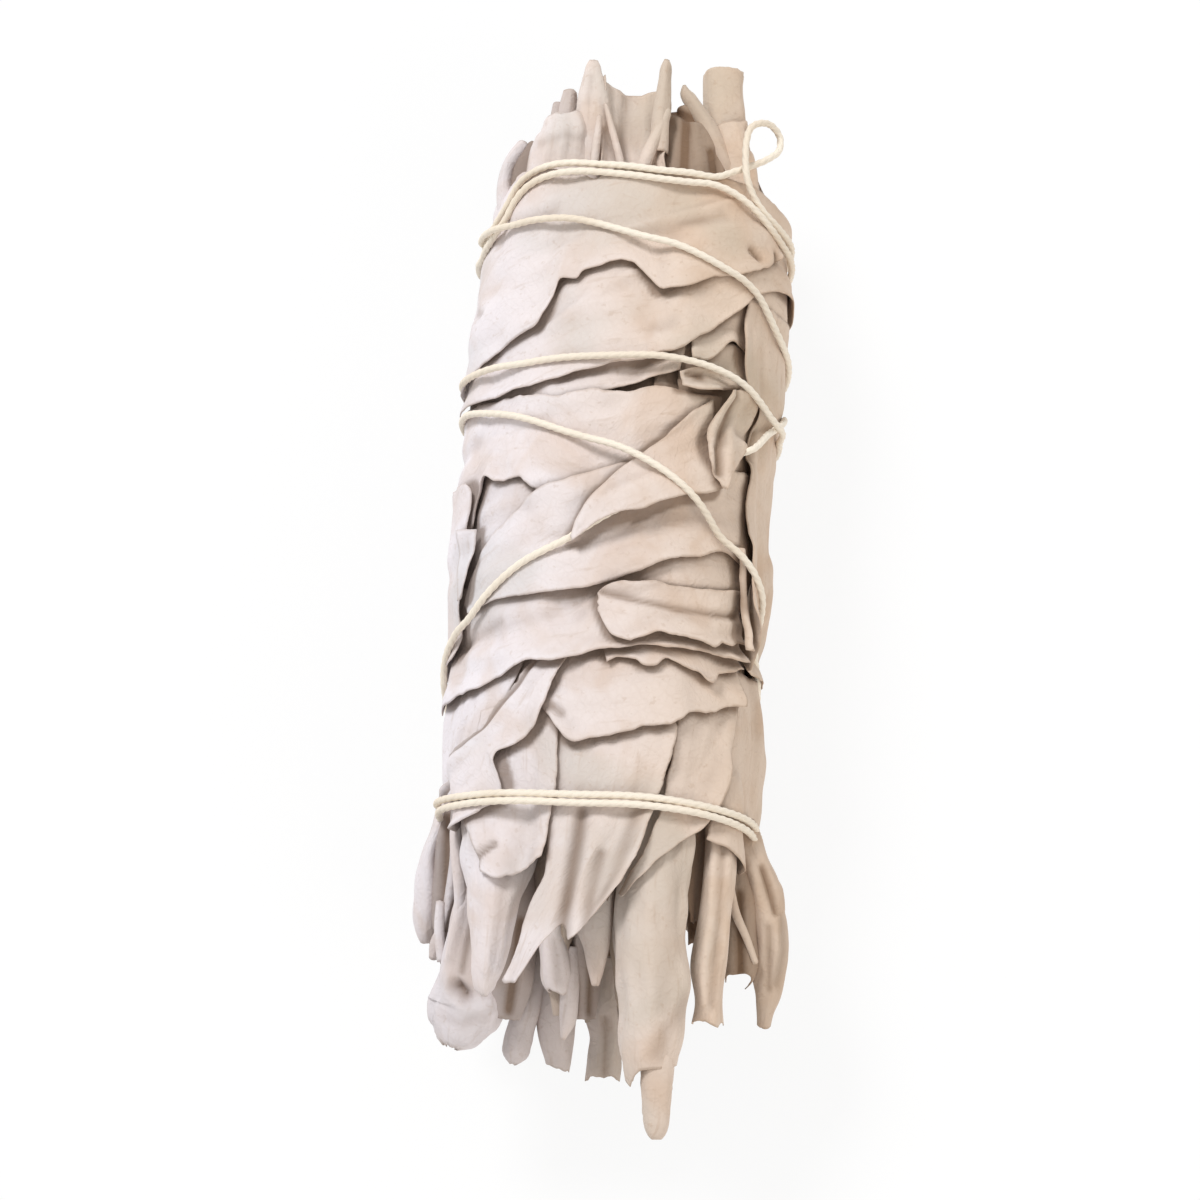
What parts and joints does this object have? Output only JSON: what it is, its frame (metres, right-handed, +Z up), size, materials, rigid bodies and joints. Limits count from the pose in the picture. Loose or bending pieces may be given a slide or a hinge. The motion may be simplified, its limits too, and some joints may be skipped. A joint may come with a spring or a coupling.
{
  "type": "smudge stick",
  "caption": "Bundle of long dried sage leaves wrapped round inner sprigs and bound from tip to stem with one criss-crossing cotton string, lying on its side.",
  "frame": {"origin": "on the surface that the bundle lies on, below the middle of its bounding box", "axes": "+Y runs along the bundle towards its cut stems, +Z up, +X to its right seen from the leaf tips"},
  "size_m": [0.0382, 0.1078, 0.0321],
  "materials": {
    "dried_sage": "matte, velvety, finely veined dried leaf",
    "inner_sage": "matte, browner rolled leaf and stem",
    "cotton_string": "matte twisted cotton"
  },
  "bodies": {
    "root": {"back_leaf_lower_left": "dried_sage", "back_leaf_lower_right": "dried_sage", "back_leaf_middle_left": "dried_sage", "back_leaf_middle_right": "dried_sage", "back_leaf_tip_left": "dried_sage", "back_leaf_tip_middle": "dried_sage", "back_leaf_tip_right": "dried_sage", "back_leaf_upper": "dried_sage", "back_leaf_upper_left": "dried_sage", "back_leaf_upper_right": "dried_sage", "centre_tip_leaf": "dried_sage", "cover_fold": "dried_sage", "cover_leaf": "dried_sage", "diagonal_leaf": "dried_sage", "grey_leaf": "dried_sage", "left_flank_leaf": "dried_sage", "left_tongue_leaf": "dried_sage", "left_wrap_leaf": "dried_sage", "lobed_leaf": "dried_sage", "long_band_leaf": "dried_sage", "long_leaf_left": "dried_sage", "long_leaf_right": "dried_sage", "long_leaf_top": "dried_sage", "long_leaf_under": "dried_sage", "long_leaf_under_left": "dried_sage", "long_leaf_under_right": "dried_sage", "lower_band_leaf": "dried_sage", "pale_leaf": "dried_sage", "resting_leaf": "dried_sage", "right_wrap_leaf": "dried_sage", "rolled_leaf_left": "dried_sage", "rolled_leaf_middle": "dried_sage", "side_leaf": "dried_sage", "side_tip_leaf": "dried_sage", "slanting_leaf": "dried_sage", "sprig_left": "inner_sage", "sprig_lower_left": "inner_sage", "sprig_lower_right": "inner_sage", "sprig_middle": "inner_sage", "sprig_right": "inner_sage", "sprig_upper_left": "inner_sage", "sprig_upper_right": "inner_sage", "stepped_leaf": "dried_sage", "string": "cotton_string", "tip_left_outer": "dried_sage", "tip_left_roll": "dried_sage", "tip_right_folded": "dried_sage", "tip_right_outer": "dried_sage", "tip_stalked": "dried_sage", "top_end_left": "dried_sage", "top_end_lobe": "dried_sage", "top_end_middle": "dried_sage", "top_end_right": "dried_sage", "torn_leaf": "dried_sage"}
  },
  "joints": []
}
